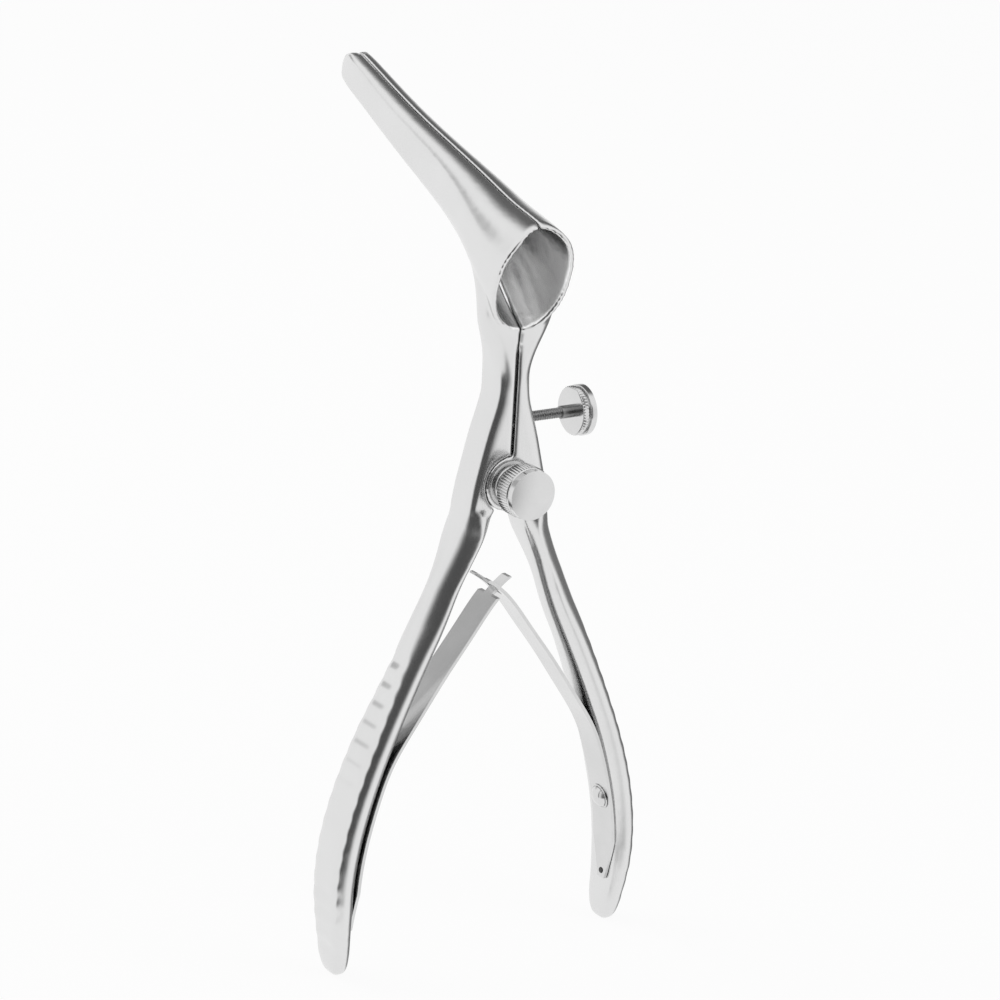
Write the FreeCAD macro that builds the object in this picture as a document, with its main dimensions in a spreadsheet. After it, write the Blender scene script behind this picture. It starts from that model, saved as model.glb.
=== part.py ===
import FreeCAD, Part
import Sketcher
import math
import os

from FreeCAD import Placement, Rotation, Vector

os.makedirs("parts", exist_ok=True)

# Frame: the pivot runs along Y through the origin, which lies on the flat back
# of the joint. X is the way the halves part, Z is up along the instrument.
doc = FreeCAD.newDocument("speculum")
sheet = doc.addObject("Spreadsheet::Sheet", "Sizes")

SIZES = [
    # Neck and joint block
    ("joint_depth", 6.1), ("seam_gap", 0.24), ("neck_gap", 0.5),
    ("neck_gap_top", 22.0), ("edge_round", 0.8),
    # Half-lap joint
    ("lug_radius", 4.6), ("lug_clearance", 0.1), ("lap_gap", 0.06),
    ("boss_seat_radius", 3.65), ("boss_seat_depth", 0.35),
    # Pivot screw
    ("pivot_radius", 1.5), ("pivot_fit", 0.04), ("pivot_end_cover", 0.8),
    ("pivot_length", 4.85),
    ("collar_radius", 3.35), ("collar_length", 1.05), ("neck_radius", 2.55),
    ("neck_length", 1.25), ("knurl_radius", 4.3), ("knurl_length", 3.0),
    ("face_radius", 4.05), ("face_length", 1.0), ("dome_rise", 0.65),
    ("knurl_depth", 0.22), ("knurl_count", 32),
    # Blades and cup, in the tilted frame of the blade axis
    ("blade_tilt", 17.0), ("wall", 0.85), ("mouth_corner", 3.8),
    ("tip_round", 3.0),
    # Handles
    ("groove_pitch", 3.15), ("groove_radius", 2.3), ("groove_depth", 0.38),
    ("groove_first", 28.0), ("groove_count", 16),
    # Leaf springs
    ("leaf_thickness", 0.55), ("leaf_width", 5.5), ("seat_depth", 0.15),
    ("seat_clearance", 0.03), ("leave_lift", 0.15), ("head_clearance", 0.09),
    ("cross_height", 18.1), ("leave_height", 45.0),
    ("foot_height", 72.8), ("foot_taper", 7.0), ("foot_tip", 1.8), ("tongue_width", 1.9), ("fork_slot", 2.5),
    ("tongue_reach", 2.4), ("prong_reach", 3.2), ("shoulder_back", 1.3),
    ("leaf_bow", 0.7),
    # Spring screws and pins
    ("spring_screw_height", 58.0), ("spring_screw_head", 1.9),
    ("spring_head_rim", 0.25), ("spring_head_dome", 0.65),
    ("spring_screw_shank", 0.9), ("spring_shank_length", 2.6),
    ("spring_screw_length", 2.6), ("pin_height", 71.6), ("pin_radius", 0.45),
    ("pin_length", 2.2), ("pin_proud", 0.15), ("hole_clearance", 0.08),
    # Set screw
    ("set_height", 9.8), ("set_radius", 0.85), ("set_fit", 0.05),
    ("set_nose", 0.6), ("set_thread_length", 11.0),
    ("set_shoulder_radius", 1.05), ("set_shoulder_length", 1.9),
    ("set_disc_radius", 4.0), ("set_disc_length", 1.05),
    ("set_waist_radius", 3.55), ("set_waist_length", 0.3),
    ("set_head_radius", 4.15), ("set_head_length", 1.0), ("set_dome", 0.2),
    ("set_tip_gap", 0.02),
]
for row, (name, value) in enumerate(SIZES, start=1):
    sheet.set("A%d" % row, name)
    sheet.set("B%d" % row, str(value))
    sheet.setAlias("B%d" % row, name)
doc.recompute()


def size(name):
    return float(sheet.get(name))


def feature(label, shape):
    item = doc.addObject("Part::Feature", label)
    item.Label = label
    item.Shape = shape
    item.Placement = Placement()
    return item


DEPTH = size("joint_depth")
MID_Y = -DEPTH / 2.0
HALF_GAP = size("seam_gap") / 2.0
NECK_RELIEF = size("neck_gap") / 2.0
TILT = math.radians(size("blade_tilt"))
WALL = size("wall")

# Blade stations along the tilted axis: distance along it, half width, height
# of the lower and of the upper edge above the axis through the pivot, and the
# share of the height over which the outer face runs straight.
BLADE_STATIONS = [
    (-1.5, 7.3, 24.6, 44.9, 0.1),
    (1.2, 7.1, 25.6, 44.6, 0.1),
    (5.5, 6.8, 27.4, 44.3, 0.12),
    (10.5, 6.1, 29.8, 43.8, 0.16),
    (16.0, 5.1, 31.9, 43.6, 0.24),
    (23.0, 4.0, 33.3, 43.5, 0.38),
    (34.0, 3.1, 34.4, 43.1, 0.5),
    (48.0, 2.65, 35.9, 43.0, 0.55),
    (66.0, 2.4, 37.6, 43.2, 0.55),
]
# Pull of a cubic curve that stands for a quarter of an ellipse.
ROUND = 0.5523
MOUTH = 1.2
TIP = 62.6


def blade_point(along, across, up):
    return Vector(across,
                  along * math.cos(TILT) - up * math.sin(TILT),
                  along * math.sin(TILT) + up * math.cos(TILT))


def rounding(start, corner, end):
    curve = Part.BezierCurve()
    curve.setPoles([start, start + (corner - start) * ROUND, end + (corner - end) * ROUND, end])
    return curve.toShape()


def trough_section(station, inset):
    along, half_width, low, high, straight = station
    wide = half_width - inset
    low += inset
    high -= inset
    middle = (low + high) / 2.0
    flat = (high - low) / 2.0 * straight
    top = blade_point(along, 0, high)
    upper = blade_point(along, wide, middle + flat)
    lower = blade_point(along, wide, middle - flat)
    bottom = blade_point(along, 0, low)
    return Part.Wire([
        rounding(top, blade_point(along, wide, high), upper),
        Part.LineSegment(upper, lower).toShape(),
        rounding(lower, blade_point(along, wide, low), bottom),
        Part.LineSegment(bottom, top).toShape(),
    ])


def trough(inset):
    return Part.makeLoft([trough_section(row, inset) for row in BLADE_STATIONS], True, False)


# Side outline of cup and blade: the mouth has a rounded upper corner and the
# tip is a rounded end.
def side_outline():
    corner = size("mouth_corner")
    tip = size("tip_round")
    high = 46.0
    low = 20.0
    crown = 44.5
    tip_low = 37.1
    tip_high = 43.25
    turn = math.sqrt(0.5)

    def at(along, up):
        return blade_point(along, 0, up)

    mouth_arc = Part.Arc(at(MOUTH, crown - corner),
                         at(MOUTH + corner * (1 - turn), crown - corner * (1 - turn)),
                         at(MOUTH + corner, crown))
    tip_top = Part.Arc(at(TIP - tip, tip_high),
                       at(TIP - tip * (1 - turn), tip_high - tip * (1 - turn)),
                       at(TIP, tip_high - tip))
    tip_bottom = Part.Arc(at(TIP, tip_low + tip),
                          at(TIP - tip * (1 - turn), tip_low + tip * (1 - turn)),
                          at(TIP - tip, tip_low))
    edges = [
        Part.LineSegment(at(MOUTH, low), at(MOUTH, crown - corner)).toShape(),
        mouth_arc.toShape(),
        Part.LineSegment(at(MOUTH + corner, crown), at(20, high)).toShape(),
        Part.LineSegment(at(20, high), at(TIP - tip, high)).toShape(),
        Part.LineSegment(at(TIP - tip, high), at(TIP - tip, tip_high)).toShape(),
        tip_top.toShape(),
        Part.LineSegment(at(TIP, tip_high - tip), at(TIP, tip_low + tip)).toShape(),
        tip_bottom.toShape(),
        Part.LineSegment(at(TIP - tip, tip_low), at(TIP - tip, low)).toShape(),
        Part.LineSegment(at(TIP - tip, low), at(MOUTH, low)).toShape(),
    ]
    return Part.Wire(edges)


def side_envelope():
    return Part.Face(side_outline()).extrude(Vector(12, 0, 0))


# Rectangle in a level plane with its corners rounded. The rounds are given for
# the front outer, back outer, back inner and front inner corner; 0 is sharp.
def level_section(level, inner, outer, front, back, rounds):
    ways = [Vector(1, 0, 0), Vector(0, 1, 0), Vector(-1, 0, 0), Vector(0, -1, 0)]
    corners = [Vector(outer, front, level), Vector(outer, back, level),
               Vector(inner, back, level), Vector(inner, front, level)]
    edges = []
    last = corners[3] + ways[0] * rounds[3]
    for index, corner in enumerate(corners):
        start = corner - ways[index] * rounds[index]
        end = corner + ways[(index + 1) % 4] * rounds[index]
        edges.append(Part.LineSegment(last, start).toShape())
        if rounds[index] > 0:
            edges.append(rounding(start, corner, end))
        last = end
    return Part.Wire(edges)


# The neck swells into the underside of the cup.
# Level, half width, front, back, rounding at the front and at the back.
NECK_STATIONS = [
    (15.0, 3.0, -6.1, 0.0, 1.2, 0.8),
    (19.0, 3.3, -6.1, -0.2, 1.6, 0.9),
    (23.0, 4.9, -6.2, -1.4, 2.0, 1.7),
    (27.0, 6.5, -6.7, -1.9, 2.4, 2.4),
    (30.5, 6.7, -7.0, -0.8, 2.6, 3.4),
    (34.0, 6.0, -6.6, 2.3, 2.6, 4.3),
    (37.5, 3.6, -4.0, 6.3, 1.4, 2.2),
]


def neck_solid():
    wires = []
    for level, half_width, front, back, rf, rb in NECK_STATIONS:
        wires.append(level_section(level, 0, half_width, front, back, (rf, rb, 0, 0)))
    return Part.makeLoft(wires, True, False)


# Front outline of the joint block, outer side, from the neck to the handle.
JOINT_OUTLINE = [(3.0, 17.0), (3.15, 14.5), (4.65, 9.3), (6.1, 3.8), (7.25, -1.0),
                 (7.8, -4.2), (8.3, -6.4)]


def joint_solid():
    outer = Part.BSplineCurve()
    outer.interpolate([Vector(x, 0, z) for x, z in JOINT_OUTLINE])
    top = Vector(0, 0, JOINT_OUTLINE[0][1])
    foot = Vector(3.9, 0, -6.4)
    crotch = Vector(2.1, 0, -3.4)
    edges = [
        Part.LineSegment(top, outer.StartPoint).toShape(),
        outer.toShape(),
        Part.LineSegment(outer.EndPoint, foot).toShape(),
        Part.LineSegment(foot, crotch).toShape(),
        Part.LineSegment(crotch, Vector(0, 0, -3.4)).toShape(),
        Part.LineSegment(Vector(0, 0, -3.4), top).toShape(),
    ]
    block = Part.Face(Part.Wire(edges)).extrude(Vector(0, -DEPTH, 0))
    sides = [e for e in block.Edges
             if len(e.Vertexes) == 2
             and abs(e.BoundBox.YLength) < 1e-6
             and e.BoundBox.ZLength > 18
             and e.BoundBox.XMax > 5]
    return block.makeFillet(size("edge_round"), sides)


# Handle stations: level, outer face, thickness, front, back, rounding of the
# front outer and front inner corner and of both back corners. The bar starts as
# a blunt nose that stands a little proud of the joint, runs down with a half
# round front and becomes a grip with a flat outer face.
HANDLE_STATIONS = [
    (-2.6, 6.9, 2.6, -5.4, -1.2, 1.2, 1.2, 1.0),
    (-5.0, 7.85, 4.8, -6.6, -0.05, 2.3, 2.3, 0.8),
    (-12.0, 10.3, 4.9, -6.5, 0.0, 2.4, 2.4, 0.9),
    (-20.0, 13.8, 5.0, -6.3, 0.3, 2.2, 2.5, 1.0),
    (-30.0, 18.4, 5.0, -6.4, 0.8, 1.9, 2.5, 1.1),
    (-42.0, 23.6, 4.9, -6.4, 1.6, 1.6, 2.5, 1.2),
    (-54.0, 27.6, 4.8, -6.35, 2.2, 1.5, 2.4, 1.2),
    (-64.0, 29.2, 4.5, -6.25, 2.1, 1.4, 2.1, 1.2),
    (-72.0, 28.9, 4.0, -5.9, 1.7, 1.3, 1.8, 1.2),
    (-77.5, 28.1, 3.4, -5.1, 1.4, 1.3, 1.5, 1.2),
    (-79.7, 27.5, 2.6, -4.2, 0.6, 1.2, 1.2, 1.2),
    (-80.5, 26.9, 1.5, -3.2, -0.6, 0.6, 0.6, 0.6),
]


def handle_solid():
    wires = []
    for level, outer, thick, front, back, rfo, rfi, rb in HANDLE_STATIONS:
        rounds = (rfo, rb, rb, rfi)
        wires.append(level_section(level, outer - thick, outer, front, back, rounds))
    return Part.makeLoft(wires, True, False)


def curve_through(points):
    curve = Part.BSplineCurve()
    curve.interpolate(points)
    return curve


def face_curve(offset, inner):
    points = []
    for level, outer, thick, *_ in HANDLE_STATIONS[1:-2]:
        x = outer - thick + offset if inner else outer + offset
        points.append(Vector(x, 0, level))
    return curve_through(points)


def at_level(curve, level):
    low, high = curve.FirstParameter, curve.LastParameter
    for _ in range(60):
        middle = (low + high) / 2.0
        if curve.value(middle).z > level:
            low = middle
        else:
            high = middle
    return (low + high) / 2.0


def normal_out(curve, parameter):
    tangent = curve.tangent(parameter)[0]
    return Vector(-tangent.z, 0, tangent.x).normalize()


OUTER_FACE = face_curve(0.0, False)
SEAT_FACE = face_curve(size("seat_depth"), True)


def grip_grooves():
    cutters = []
    for index in range(int(size("groove_count"))):
        level = -size("groove_first") - index * size("groove_pitch")
        parameter = at_level(OUTER_FACE, level)
        out = normal_out(OUTER_FACE, parameter)
        if out.x < 0:
            out = out.negative()
        lift = size("groove_radius") - size("groove_depth")
        centre = OUTER_FACE.value(parameter) + out * lift
        centre.y = -DEPTH - 3
        cutters.append(Part.makeCylinder(size("groove_radius"), DEPTH + 6, centre, Vector(0, 1, 0)))
    return cutters


# Shallow channel in the inner face in which the foot of the leaf spring lies.
def spring_seat():
    low = -size("foot_height") - 0.6
    high = -size("leave_height") + 2.0
    start = at_level(SEAT_FACE, high)
    end = at_level(SEAT_FACE, low)
    face_edge = Part.Edge(SEAT_FACE, start, end)
    a = SEAT_FACE.value(start)
    b = SEAT_FACE.value(end)
    c = Vector(b.x - 6, 0, b.z)
    d = Vector(a.x - 6, 0, a.z)
    wire = Part.Wire([face_edge, Part.LineSegment(b, c).toShape(),
                      Part.LineSegment(c, d).toShape(), Part.LineSegment(d, a).toShape()])
    width = size("leaf_width") + 0.3
    seat = Part.Face(wire).extrude(Vector(0, width, 0))
    seat.translate(Vector(0, MID_Y - width / 2.0, 0))
    return seat


def seat_hole(level, radius, deep):
    parameter = at_level(SEAT_FACE, -level)
    out = normal_out(SEAT_FACE, parameter)
    if out.x < 0:
        out = out.negative()
    start = SEAT_FACE.value(parameter) - out * 3.0
    start.y = MID_Y
    return Part.makeCylinder(radius, deep + 3.0, start, out)


def y_cylinder(radius, front, back):
    return Part.makeCylinder(radius, back - front, Vector(0, front, 0), Vector(0, 1, 0))


# One forged half on the +X side, without its lap.
def half_blank():
    shell = trough(0.0).common(side_envelope())
    body = shell.fuse([neck_solid(), joint_solid(), handle_solid()])
    tools = [trough(WALL)] + grip_grooves() + [spring_seat()]
    tools.append(seat_hole(size("spring_screw_height"), size("spring_screw_shank"),
                           size("spring_screw_length")))
    tools.append(seat_hole(size("pin_height"), size("pin_radius"), size("pin_length")))
    tools.append(Part.makeBox(20 + HALF_GAP, 200, 200, Vector(-20, -100, -3.4)))
    tools.append(Part.makeBox(20 + NECK_RELIEF, 200, size("neck_gap_top") + 3.4,
                              Vector(-20, -100, -3.4)))
    return body.cut(tools)


LAP = MID_Y
LUG = size("lug_radius")
CLEAR = LUG + size("lug_clearance")
LAP_GAP = size("lap_gap") / 2.0

blank = half_blank()

# Right half: lug at the front, recess at the back for the other lug.
right = blank.fuse(y_cylinder(LUG, -DEPTH, LAP - LAP_GAP))
right = right.cut([
    y_cylinder(CLEAR, LAP - LAP_GAP, 5),
    y_cylinder(size("pivot_radius") + size("pivot_fit"), -DEPTH - 1, 1),
    y_cylinder(size("boss_seat_radius"), -DEPTH - 1, -DEPTH + size("boss_seat_depth")),
    Part.makeCylinder(size("set_radius") + size("set_fit"), 20,
                      Vector(-1, MID_Y, size("set_height")), Vector(1, 0, 0)),
])

# Left half: lug at the back, blind tapped hole for the pivot screw.
left = blank.mirror(Vector(0, 0, 0), Vector(1, 0, 0))
left = left.fuse(y_cylinder(LUG, LAP + LAP_GAP, 0))
left = left.cut([
    y_cylinder(CLEAR, -DEPTH - 5, LAP + LAP_GAP),
    y_cylinder(size("pivot_radius"), -DEPTH - 1, -size("pivot_end_cover")),
])

feature("left_half", left)
feature("right_half", right)


# Leaf springs: a bent strip in the XZ plane, its end and foot shaped by an
# outline in the YZ plane.
CROSS = Vector(0, 0, -size("cross_height"))
LEAF_HALF = size("leaf_thickness") / 2.0


def leaf_centreline(reach):
    lift = size("seat_clearance") + LEAF_HALF
    leave = -size("leave_height")
    foot = -size("foot_height")
    points = []
    for step in range(6):
        level = foot + (leave - foot) * step / 5.0
        parameter = at_level(SEAT_FACE, level)
        out = normal_out(SEAT_FACE, parameter)
        inward = out if out.x < 0 else out.negative()
        points.append(SEAT_FACE.value(parameter) + inward * lift)
    points[-1] += inward * size("leave_lift")
    start = points[-1]
    chord = CROSS - start
    bow = Vector(chord.z, 0, -chord.x).normalize() * size("leaf_bow")
    for share in (0.25, 0.5, 0.75):
        points.append(start + chord * share + bow * (4 * share * (1 - share)))
    points.append(CROSS)
    ahead = (chord.normalize() * 2.0 - bow * 0.9).normalize()
    points.append(CROSS + ahead * (reach + 0.6))
    return curve_through(points)


def leaf_strip(reach):
    middle = leaf_centreline(reach)
    left, right = [], []
    count = 28
    for step in range(count + 1):
        span = middle.LastParameter - middle.FirstParameter
        parameter = middle.FirstParameter + span * step / count
        across = normal_out(middle, parameter)
        left.append(middle.value(parameter) + across * LEAF_HALF)
        right.append(middle.value(parameter) - across * LEAF_HALF)
    one = curve_through(left)
    two = curve_through(right)
    wire = Part.Wire([one.toShape(), Part.LineSegment(one.EndPoint, two.EndPoint).toShape(),
                      two.toShape(), Part.LineSegment(two.StartPoint, one.StartPoint).toShape()])
    width = size("leaf_width")
    strip = Part.Face(wire).extrude(Vector(0, width, 0))
    strip.translate(Vector(0, MID_Y - width / 2.0, 0))
    return strip


def leaf_outline(top, mouth_half, slot):
    half = size("leaf_width") / 2.0
    foot = -size("foot_height")
    start = foot + size("foot_taper")
    tip = size("foot_tip") / 2.0
    shoulder = -size("cross_height") - size("shoulder_back") * 0.77
    side = [(half, shoulder), (half, start), (tip, foot), (-tip, foot),
            (-half, start), (-half, shoulder)]
    if slot:
        tine = mouth_half
        end = [(-half, top), (-tine, top), (-tine, shoulder), (tine, shoulder),
               (tine, top), (half, top)]
    else:
        end = [(-mouth_half, shoulder), (-mouth_half, top), (mouth_half, top),
               (mouth_half, shoulder)]
    points = [Vector(-5, MID_Y + y, z) for y, z in side + end]
    return Part.Face(Part.makePolygon(points + [points[0]])).extrude(Vector(40, 0, 0))


def leaf(reach, mouth_half, slot):
    top = -size("cross_height") + reach * 0.72
    shape = leaf_strip(reach).common(leaf_outline(top, mouth_half, slot))
    clear = size("hole_clearance")
    return shape.cut([
        seat_hole(size("spring_screw_height"), size("spring_screw_shank") + clear, 1.0),
        seat_hole(size("pin_height"), size("pin_radius") + clear, 1.0),
    ])


right_leaf = leaf(size("prong_reach"), size("fork_slot") / 2.0, True)
left_leaf = leaf(size("tongue_reach"), size("tongue_width") / 2.0, False)
feature("right_leaf_spring", right_leaf)
feature("left_leaf_spring", left_leaf.mirror(Vector(0, 0, 0), Vector(1, 0, 0)))


# Turned pieces: half the profile is sketched, its sizes bound to the sheet, and
# revolved. The first and the last edge may be arcs centred on the axis.
def origin_item(body, role):
    return [f for f in body.Origin.OriginFeatures if f.Role == role][0]


def end_arc(radius, level, rise, upward):
    round_radius = (radius * radius + rise * rise) / (2.0 * rise)
    angle = math.asin(min(1.0, radius / round_radius))
    if upward:
        circle = Part.Circle(Vector(0, level + rise - round_radius, 0), Vector(0, 0, 1), round_radius)
        return Part.ArcOfCircle(circle, math.pi / 2 - angle, math.pi / 2)
    circle = Part.Circle(Vector(0, level + round_radius, 0), Vector(0, 0, 1), round_radius)
    return Part.ArcOfCircle(circle, -math.pi / 2, -math.pi / 2 + angle)


def turned_body(label, steps, nose="", dome=""):
    body = doc.addObject("PartDesign::Body", label)
    body.Label = label
    sketch = body.newObject("Sketcher::SketchObject", label + "_profile")
    sketch.AttachmentSupport = [(origin_item(body, "XY_Plane"), "")]
    sketch.MapMode = "FlatFace"
    points = [Vector(0, 0, 0)]
    reach = 0.0
    start = size(nose) if nose else 0.0
    for radius_name, length_name in steps:
        points.append(Vector(size(radius_name), max(reach, start), 0))
        reach += size(length_name)
        points.append(Vector(size(radius_name), reach, 0))
    rise = size(dome) if dome else 0.0
    points.append(Vector(0, reach + rise, 0))
    count = len(points)
    for index in range(count):
        edge = Part.LineSegment(points[index], points[(index + 1) % count])
        if index == 0 and nose:
            edge = end_arc(size(steps[0][0]), 0.0, start, False)
        if index == count - 2 and dome:
            edge = end_arc(size(steps[-1][0]), reach, rise, True)
        sketch.addGeometry(edge, False)
    for index in range(count):
        following = (index + 1) % count
        sketch.addConstraint(Sketcher.Constraint("Coincident", index, 2, following, 1))
        rounded = (index == 0 and nose) or (index == count - 2 and dome)
        if rounded:
            sketch.addConstraint(Sketcher.Constraint("PointOnObject", index, 3, -2))
        else:
            level = index % 2 == 0 and index < count - 1
            kind = "Horizontal" if level else "Vertical"
            sketch.addConstraint(Sketcher.Constraint(kind, index))
    sketch.addConstraint(Sketcher.Constraint("Coincident", 0, 1, -1, 1))

    def bind(kind, first, first_end, second, second_end, name):
        rule = Sketcher.Constraint(kind, first, first_end, second, second_end, size(name))
        tag = sketch.addConstraint(rule)
        sketch.setExpression("Constraints[%d]" % tag, "Sizes." + name)

    for step, (radius_name, length_name) in enumerate(steps):
        line = 1 + 2 * step
        bind("DistanceX", -1, 1, line, 1, radius_name)
        lower = -1 if step == 0 else line
        bind("DistanceY", lower, 1, line, 2, length_name)
    if nose:
        bind("DistanceY", -1, 1, 1, 1, nose)
    if dome:
        bind("DistanceY", count - 2, 1, count - 2, 2, dome)
    doc.recompute()
    turn = body.newObject("PartDesign::Revolution", label + "_turned")
    turn.Profile = sketch
    turn.ReferenceAxis = (sketch, ["V_Axis"])
    turn.Angle = 360
    doc.recompute()
    return body, reach + rise


# Straight knurl: one V groove cut along a rim and repeated round the axis.
def knurl(body, label, radius_name, start, length_name):
    radius = size(radius_name)
    depth = size("knurl_depth")
    half = depth * 1.1
    sketch = body.newObject("Sketcher::SketchObject", label + "_groove")
    sketch.AttachmentSupport = [(origin_item(body, "XZ_Plane"), "")]
    sketch.MapMode = "FlatFace"
    sketch.AttachmentOffset = Placement(Vector(0, 0, -start), Rotation())
    corners = [Vector(radius - depth, 0, 0), Vector(radius + 0.1, half, 0),
               Vector(radius + 0.1, -half, 0)]
    for index in range(3):
        sketch.addGeometry(Part.LineSegment(corners[index], corners[(index + 1) % 3]), False)
    for index in range(3):
        sketch.addConstraint(Sketcher.Constraint("Coincident", index, 2, (index + 1) % 3, 1))
    doc.recompute()
    before = body.Shape.Volume
    cut = body.newObject("PartDesign::Pocket", label + "_cut")
    cut.Profile = sketch
    cut.setExpression("Length", "Sizes." + length_name)
    doc.recompute()
    if body.Shape.Volume > before - 1e-6:
        cut.Reversed = True
        doc.recompute()
    pattern = body.newObject("PartDesign::PolarPattern", label + "_knurl")
    pattern.Originals = [cut]
    pattern.Axis = (origin_item(body, "Y_Axis"), [""])
    pattern.Angle = 360
    pattern.setExpression("Occurrences", "Sizes.knurl_count")
    body.Tip = pattern
    doc.recompute()
    print(label, "knurled volume", round(before, 2), round(body.Shape.Volume, 2))


FACE_FRONT = Rotation(Vector(0, 0, 1), 180)
pivot, _ = turned_body("pivot_screw", [
    ("pivot_radius", "pivot_length"),
    ("collar_radius", "collar_length"),
    ("neck_radius", "neck_length"),
    ("knurl_radius", "knurl_length"),
    ("face_radius", "face_length"),
], dome="dome_rise")
knurl_start = size("pivot_length") + size("collar_length") + size("neck_length")
knurl(pivot, "pivot_rim", "knurl_radius", knurl_start, "knurl_length")
pivot_back = -DEPTH + size("boss_seat_depth") + size("pivot_length") - 0.02
pivot.Placement = Placement(Vector(0, pivot_back, 0), FACE_FRONT)

set_screw, _ = turned_body("set_screw", [
    ("set_radius", "set_thread_length"),
    ("set_shoulder_radius", "set_shoulder_length"),
    ("set_disc_radius", "set_disc_length"),
    ("set_waist_radius", "set_waist_length"),
    ("set_head_radius", "set_head_length"),
], nose="set_nose", dome="set_dome")
head_start = size("set_thread_length") + size("set_shoulder_length")
knurl(set_screw, "set_disc", "set_disc_radius", head_start, "set_disc_length")
tip_x = -NECK_RELIEF + size("set_tip_gap")
set_screw.Placement = Placement(Vector(tip_x, MID_Y, size("set_height")),
                                Rotation(Vector(0, 0, 1), -90))


def seat_frame(level, lift):
    parameter = at_level(SEAT_FACE, -level)
    out = normal_out(SEAT_FACE, parameter)
    inward = out if out.x < 0 else out.negative()
    spot = SEAT_FACE.value(parameter) + inward * lift
    spot.y = MID_Y
    return spot, inward


# Domed spring screws and plain locating pins, one pair on each handle.
for side, sign in (("left", -1), ("right", 1)):
    lift = size("head_clearance") + size("leaf_thickness")
    spot, inward = seat_frame(size("spring_screw_height"), lift - size("spring_shank_length"))
    inward = Vector(sign * inward.x, 0, inward.z)
    spot = Vector(sign * spot.x, spot.y, spot.z)
    screw, _ = turned_body(side + "_spring_screw", [
        ("spring_screw_shank", "spring_shank_length"),
        ("spring_screw_head", "spring_head_rim"),
    ], dome="spring_head_dome")
    screw.Placement = Placement(spot, Rotation(Vector(0, 1, 0), inward))
    spot, inward = seat_frame(size("pin_height"), size("leaf_thickness") - size("pin_length"))
    inward = Vector(sign * inward.x, 0, inward.z)
    spot = Vector(sign * spot.x, spot.y, spot.z)
    pin = doc.addObject("Part::Cylinder", side + "_spring_pin")
    pin.Label = side + "_spring_pin"
    pin.setExpression("Radius", "Sizes.pin_radius")
    pin.setExpression("Height", "Sizes.pin_length + Sizes.pin_proud")
    pin.Placement = Placement(spot, Rotation(Vector(0, 0, 1), inward))

doc.recompute()

NODES = ["left_half", "right_half", "pivot_screw", "set_screw", "left_leaf_spring",
         "right_leaf_spring", "left_spring_screw", "right_spring_screw",
         "left_spring_pin", "right_spring_pin"]

for item in doc.Objects:
    if "Invalid" in item.State or "Error" in item.State:
        raise RuntimeError("failed object: " + item.Name)
for name in NODES:
    shape = doc.getObject(name).Shape
    if shape.isNull() or not shape.isValid() or len(shape.Solids) != 1:
        raise RuntimeError("bad shape: " + name)
for name in NODES:
    shape = doc.getObject(name).Shape
    shape.exportStep("parts/%s.step" % name)
    print(name, round(shape.Volume, 1), shape.optimalBoundingBox())
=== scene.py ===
import logging
import math
from dataclasses import dataclass
from enum import Enum

import bmesh
import bpy
import numpy as np
from mathutils import Matrix, Vector
from mathutils.bvhtree import BVHTree


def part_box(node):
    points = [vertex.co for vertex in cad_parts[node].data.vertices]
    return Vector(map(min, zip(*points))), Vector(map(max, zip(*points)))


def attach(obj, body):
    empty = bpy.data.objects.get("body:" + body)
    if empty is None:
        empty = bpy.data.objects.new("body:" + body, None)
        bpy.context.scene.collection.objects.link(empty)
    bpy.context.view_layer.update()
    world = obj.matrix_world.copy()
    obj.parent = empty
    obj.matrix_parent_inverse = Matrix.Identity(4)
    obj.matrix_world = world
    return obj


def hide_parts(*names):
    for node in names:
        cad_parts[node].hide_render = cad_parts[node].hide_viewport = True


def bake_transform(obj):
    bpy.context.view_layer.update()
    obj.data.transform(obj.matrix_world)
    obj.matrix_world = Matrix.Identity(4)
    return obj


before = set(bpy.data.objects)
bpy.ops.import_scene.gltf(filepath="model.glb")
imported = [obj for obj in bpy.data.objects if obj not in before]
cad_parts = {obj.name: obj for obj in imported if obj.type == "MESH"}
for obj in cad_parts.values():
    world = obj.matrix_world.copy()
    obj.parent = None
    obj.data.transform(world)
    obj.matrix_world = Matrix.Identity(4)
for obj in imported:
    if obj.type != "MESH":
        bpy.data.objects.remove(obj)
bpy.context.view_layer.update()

MM = 0.001
# Points nearer than this, in metres, are one point.
WELD = 1e-7
# A flat end of a turned profile comes this near to its axis, in millimetres.
AXIS = 0.01
LOG = logging.getLogger("speculum")

Colour = tuple[float, float, float, float]
Point = tuple[float, float, float]


class Side(Enum):
    """The two sides of the instrument, as signs of X."""

    LEFT = -1
    RIGHT = 1

    @property
    def word(self) -> str:
        """The side's name in node and body names."""
        return self.name.lower()


class Grain(Enum):
    """Which way the last polishing lines run on a surface."""

    ALONG_X = 0
    ALONG_Y = 1
    ALONG_Z = 2


def to_linear(hex_colour: str) -> Colour:
    """Turn an sRGB hex colour into the linear colour that Blender works in.

    Args:
        hex_colour: six hex digits, with or without the hash.

    Returns:
        Red, green, blue and an alpha of 1, linear.
    """
    digits = hex_colour.lstrip("#")
    channels = [int(digits[k:k + 2], 16) / 255 for k in (0, 2, 4)]
    linear = [c / 12.92 if c <= 0.04045 else ((c + 0.055) / 1.055) ** 2.4
              for c in channels]
    return (linear[0], linear[1], linear[2], 1.0)


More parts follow.
